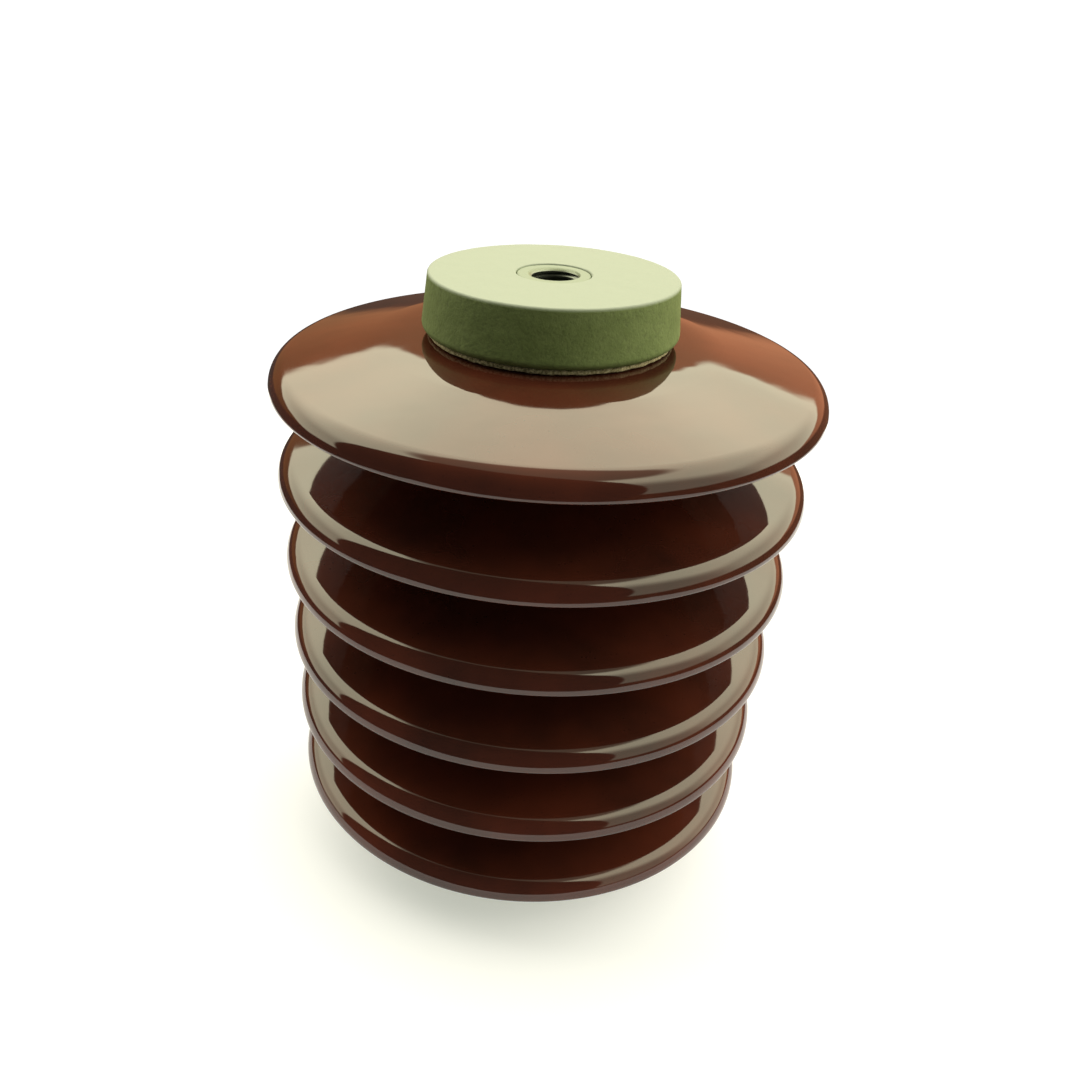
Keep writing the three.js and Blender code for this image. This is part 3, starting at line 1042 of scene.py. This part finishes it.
def cork_finish():
    """Pressed cork: granules of several browns, sunk where they meet, soft and dull."""
    finish, tree, place = start_finish("pressed_cork")
    granule = add_node(tree, "ShaderNodeTexVoronoi", {"Vector": place, "Scale": 1 / CORK_GRANULE})
    shade = add_node(tree, "ShaderNodeSeparateColor", {"Color": granule.outputs["Color"]})
    colour = add_node(tree, "ShaderNodeMix", {
        "Factor_Float": shade.outputs["Red"],
        "A_Color": linear(CORK_DARK), "B_Color": linear(CORK_LIGHT),
    }, data_type="RGBA")
    bump = add_node(tree, "ShaderNodeBump", {
        "Height": granule.outputs["Distance"], "Strength": 0.7, "Distance": CORK_RELIEF,
    }, invert=True)
    end_finish(tree, {
        "Base Color": colour.outputs[2], "Roughness": 0.9, "Normal": bump.outputs["Normal"],
    })
    return finish


def draw_cork():
    """A rounded rectangle around the bush's flange."""
    inner = FLANGE_CORNER + CUSHION_CLEARANCE
    outer = HEAD_RADIUS - HEAD_CHAMFER
    low = -CUSHION_DEPTH - CUSHION_THICKNESS
    high = -CUSHION_DEPTH
    outline = Outline(inner + CORK_ROUNDING, low)
    outline.line(outer - CORK_ROUNDING, low, CORK_FACE_STEPS)
    outline.arc(outer - CORK_ROUNDING, low + CORK_ROUNDING, 90, CORK_CORNER_STEPS)
    outline.line(outer, high - CORK_ROUNDING)
    outline.arc(outer - CORK_ROUNDING, high - CORK_ROUNDING, 90, CORK_CORNER_STEPS)
    outline.line(inner + CORK_ROUNDING, high, CORK_FACE_STEPS)
    outline.arc(inner + CORK_ROUNDING, high - CORK_ROUNDING, 90, CORK_CORNER_STEPS)
    outline.line(inner, low + CORK_ROUNDING)
    outline.arc(inner + CORK_ROUNDING, low + CORK_ROUNDING, 90, CORK_CORNER_STEPS)
    return outline


cork = cork_finish()
for end in ENDS:
    ring = draw_cork().turned(CORK_STEPS)
    move_to_end(ring, end)
    cushion = make_piece(ring, f"{end}_cork_cushion", [cork])
    roughen(cushion, "cork_granules", CORK_GRANULE, CORK_UNEVENNESS)
    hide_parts(f"{end}_cushion")

# %% [markdown]
# ## The threaded bushes
#
# The bush is turned from steel bar and tapped. Its thread is a real helix: a zigzag one pitch
# high is spun while it sinks by one pitch per turn, so each turn's lower edge meets the next
# turn's upper edge. Two planes cut the helix flat, and bands join it to the countersink and to
# the bottom of the hole.

# %% Steel
STEEL_CLEAN = "#8C918A"
STEEL_OILED = "#3C423C"
TOOL_MARK = 0.4 * MM
TOOL_MARK_DEPTH = 0.03 * MM
OIL_STAIN = 5 * MM


def steel_finish():
    """Turned and tapped steel: satin metal with tool marks, stained dark with oil in places."""
    finish, tree, place = start_finish("turned_carbon_steel")
    oil = add_node(tree, "ShaderNodeTexNoise", {
        "Vector": place, "Scale": 1 / OIL_STAIN, "Detail": 3.0,
    })
    colour = add_node(tree, "ShaderNodeMix", {
        "Factor_Float": oil.outputs["Fac"],
        "A_Color": linear(STEEL_CLEAN), "B_Color": linear(STEEL_OILED),
    }, data_type="RGBA")
    bump = add_node(tree, "ShaderNodeBump", {
        "Height": turned_rings(tree, place, TOOL_MARK, 1.0),
        "Strength": 0.6, "Distance": TOOL_MARK_DEPTH,
    })
    satin = add_node(tree, "ShaderNodeMapRange", {
        "Value": oil.outputs["Fac"], "To Min": 0.5, "To Max": 0.25,
    })
    end_finish(tree, {
        "Base Color": colour.outputs[2], "Metallic": 1.0,
        "Roughness": satin.outputs["Result"], "Normal": bump.outputs["Normal"],
    })
    return finish


steel = steel_finish()
print(f"{steel.name}: tool marks {TOOL_MARK / MM} mm apart")

# %% Cut the thread
THREAD_TURN_STEPS = 72
CREST_FLAT = THREAD_PITCH / 4
ROOT_FLAT = THREAD_PITCH / 8
DRILL_POINT = 1.6 * MM
LEAD_IN = 0.5 * MM
BUSH_FACE_STEPS = 3
BUSH_CORNER_STEPS = 4


def cut_thread(top, bottom):
    """The wall of a tapped hole between two depths, with open planar ends."""
    flank = (THREAD_PITCH - CREST_FLAT - ROOT_FLAT) / 2
    zigzag = Outline(THREAD_RADIUS, THREAD_PITCH - top)
    zigzag.line(THREAD_RADIUS, zigzag.tip.co.z - ROOT_FLAT)
    zigzag.line(BORE_RADIUS, zigzag.tip.co.z - flank)
    zigzag.line(BORE_RADIUS, zigzag.tip.co.z - CREST_FLAT)
    zigzag.line(THREAD_RADIUS, zigzag.tip.co.z - flank)
    shape = zigzag.mesh
    turns = math.ceil((bottom - top) / THREAD_PITCH) + 1
    bmesh.ops.spin(
        shape, geom=shape.verts[:] + shape.edges[:], cent=(0, 0, 0), axis=(0, 0, 1),
        dvec=(0, 0, -THREAD_PITCH / THREAD_TURN_STEPS),
        angle=math.radians(360 * turns), steps=turns * THREAD_TURN_STEPS,
    )
    bmesh.ops.remove_doubles(shape, verts=shape.verts, dist=MERGE_DISTANCE)
    for depth, outwards in ((top, 1), (bottom, -1)):
        everything = shape.verts[:] + shape.edges[:] + shape.faces[:]
        bmesh.ops.bisect_plane(
            shape, geom=everything, plane_co=(0, 0, -depth),
            plane_no=(0, 0, outwards), clear_outer=True,
        )
    return shape


def level_loop(shape, depth):
    """The open edges at a depth."""
    return [
        e for e in shape.edges
        if e.is_boundary and all(abs(v.co.z + depth) < MERGE_DISTANCE for v in e.verts)
    ]


def draw_bush():
    """The outside, from the countersink's edge over the side to the bottom."""
    sink = THREAD_RADIUS + COUNTERSINK_OVERSIZE
    outline = Outline(sink, -BUSH_SETBACK)
    outline.line(BUSH_RADIUS - EDGE_ROUNDING, -BUSH_SETBACK, BUSH_FACE_STEPS)
    corner = -BUSH_SETBACK - EDGE_ROUNDING
    outline.arc(BUSH_RADIUS - EDGE_ROUNDING, corner, -90, BUSH_CORNER_STEPS)
    outline.line(BUSH_RADIUS, -FLANGE_DEPTH)
    upper = outline.turned(END_STEPS)
    tail = Outline(BUSH_RADIUS, -FLANGE_DEPTH - FLANGE_THICKNESS)
    tail.line(BUSH_RADIUS, BUSH_CHAMFER - BUSH_DEPTH, BUSH_FACE_STEPS)
    tail.line(BUSH_RADIUS - BUSH_CHAMFER, -BUSH_DEPTH)
    tail.line(0, -BUSH_DEPTH)
    return upper, tail.turned(END_STEPS)


def join(*shapes):
    """Several bmeshes as one."""
    whole = bmesh.new()
    for shape in shapes:
        carrier = bpy.data.meshes.new("carrier")
        shape.to_mesh(carrier)
        shape.free()
        whole.from_mesh(carrier)
        bpy.data.meshes.remove(carrier)
    return whole


def turn_bush(end):
    """One bush, from its countersink down the thread, with its hexagon flange outside."""
    thread_top = BUSH_SETBACK + COUNTERSINK_OVERSIZE + LEAD_IN
    thread_bottom = BORE_DEPTH - DRILL_POINT
    drill = Outline(BORE_RADIUS, -thread_bottom)
    drill.line(0, -BORE_DEPTH)
    shape = join(*draw_bush(), cut_thread(thread_top, thread_bottom), drill.turned(END_STEPS))
    sink = round_loop(shape, THREAD_RADIUS + COUNTERSINK_OVERSIZE, BUSH_SETBACK)
    bridge(shape, sink, level_loop(shape, thread_top))
    bmesh.ops.bridge_loops(shape, edges=level_loop(shape, thread_bottom))
    flange_top = hexagon_loop(shape, FLANGE_APOTHEM, FLANGE_DEPTH)
    flange_foot = hexagon_loop(shape, FLANGE_APOTHEM, FLANGE_DEPTH + FLANGE_THICKNESS)
    upper = round_loop(shape, BUSH_RADIUS, FLANGE_DEPTH)
    lower = round_loop(shape, BUSH_RADIUS, FLANGE_DEPTH + FLANGE_THICKNESS)
    bridge(shape, upper, flange_top, flange_foot, lower)
    # The ring that shows in the cap's face was painted together with the cap, and it gets the face's
    # painted highlight too.
    for face in shape.faces:
        if face.calc_center_median().z > -BUSH_SETBACK - GAP:
            face.material_index = 1
    move_to_end(shape, end)
    bush = make_piece(shape, f"{end}_tapped_bush", [steel, coating], sharp=True)
    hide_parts(f"{end}_thread_bush")


for end in ENDS:
    turn_bush(end)

# %% [markdown]
# ## Bring the scene up to date
#
# The drawn pieces have to fill the same box as the CAD model. The last line brings the scene up
# to date.

# %% Update the scene
bpy.context.view_layer.update()
